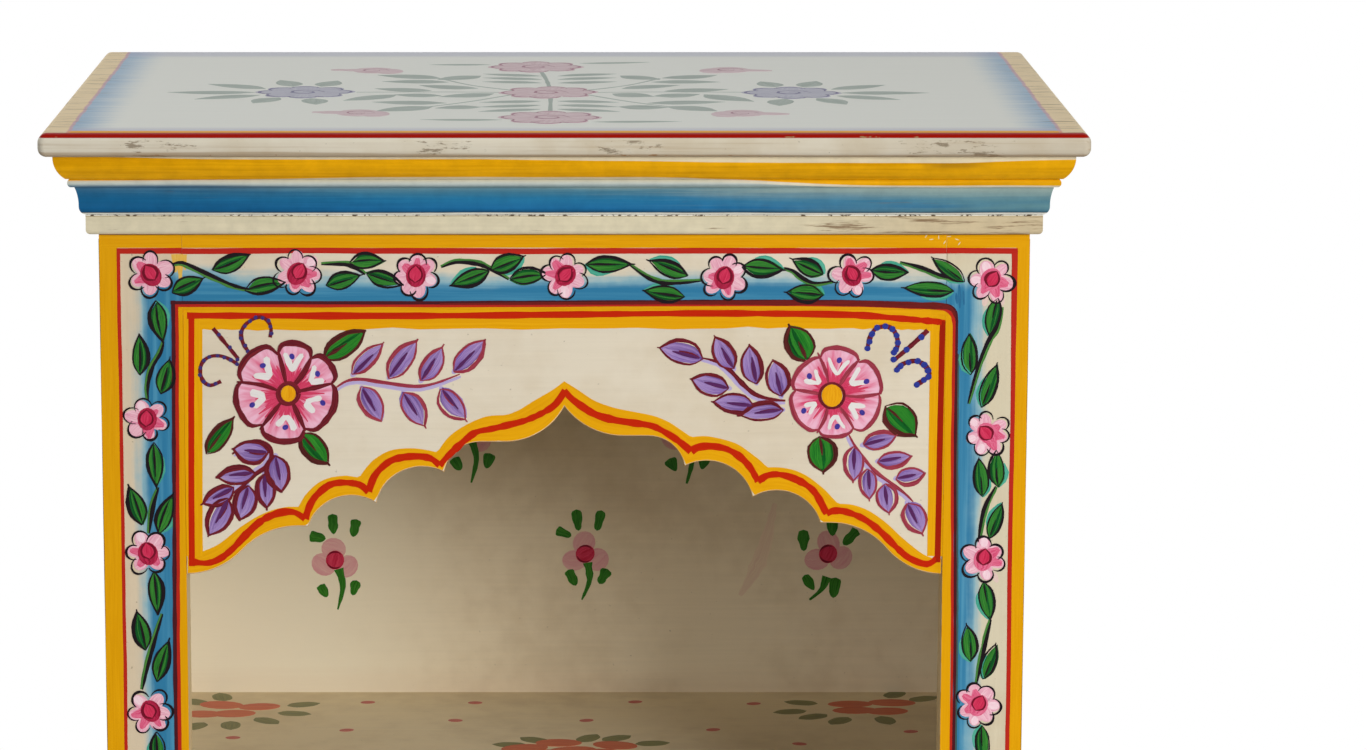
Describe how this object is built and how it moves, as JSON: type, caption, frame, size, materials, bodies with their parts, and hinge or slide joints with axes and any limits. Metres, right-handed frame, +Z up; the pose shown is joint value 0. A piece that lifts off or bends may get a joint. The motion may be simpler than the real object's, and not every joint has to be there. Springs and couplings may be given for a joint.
{
  "type": "nightstand",
  "caption": "Hand-painted wooden nightstand with a cusped arch over an open niche, a moulded cornice under its top and a sliding drawer with a turned knob",
  "frame": {"origin": "on the floor, at the middle of the footprint of the top board", "axes": "+Z up, the front faces -Y, +X to the right of someone facing the front"},
  "size_m": [0.5, 0.35, 0.6],
  "materials": {
    "top_paint": "cream paint under clear lacquer",
    "frame_paint": "blue shaded paint, satin",
    "cornice_paint": "yellow, blue and cream paint, worn",
    "panel_paint": "cream paint, satin",
    "niche_paint": "cream paint, aged",
    "side_paint": "cream paint, satin",
    "bare_wood": "planed, unfinished",
    "knob_paint": "yellow paint, satin",
    "steel": "zinc plated"
  },
  "bodies": {
    "cabinet": {"top_board": "top_paint", "stile_left": "frame_paint", "stile_right": "frame_paint", "rail_top": "frame_paint", "rail_middle": "frame_paint", "rail_bottom": "frame_paint", "cornice_front": "cornice_paint", "cornice_left": "cornice_paint", "cornice_right": "cornice_paint", "arch_panel": "panel_paint", "back_panel": "niche_paint", "niche_floor": "niche_paint", "side_panel_left": "side_paint", "side_panel_right": "side_paint", "side_rail_top_left": "side_paint", "side_rail_top_right": "side_paint", "side_rail_bottom_left": "side_paint", "side_rail_bottom_right": "side_paint", "back_post_left": "side_paint", "back_post_right": "side_paint", "back_rail_top": "bare_wood", "back_rail_bottom": "bare_wood", "kicker_left": "bare_wood", "kicker_right": "bare_wood", "drawer_runner_left": "bare_wood", "drawer_runner_right": "bare_wood", "drawer_guide_left": "bare_wood", "drawer_guide_right": "bare_wood", "drawer_stops": "bare_wood", "top_cleat_front": "bare_wood", "top_cleat_back": "bare_wood", "top_screws": "steel"},
    "drawer": {"drawer_front": "panel_paint", "drawer_side_left": "bare_wood", "drawer_side_right": "bare_wood", "drawer_back": "bare_wood", "drawer_bottom": "bare_wood", "drawer_knob": "knob_paint", "knob_screw": "steel"}
  },
  "joints": [
    {"name": "drawer_slide", "type": "slide", "parent": "cabinet", "child": "drawer", "axis": [0, -1, 0], "range_m": [0, 0.2]}
  ]
}
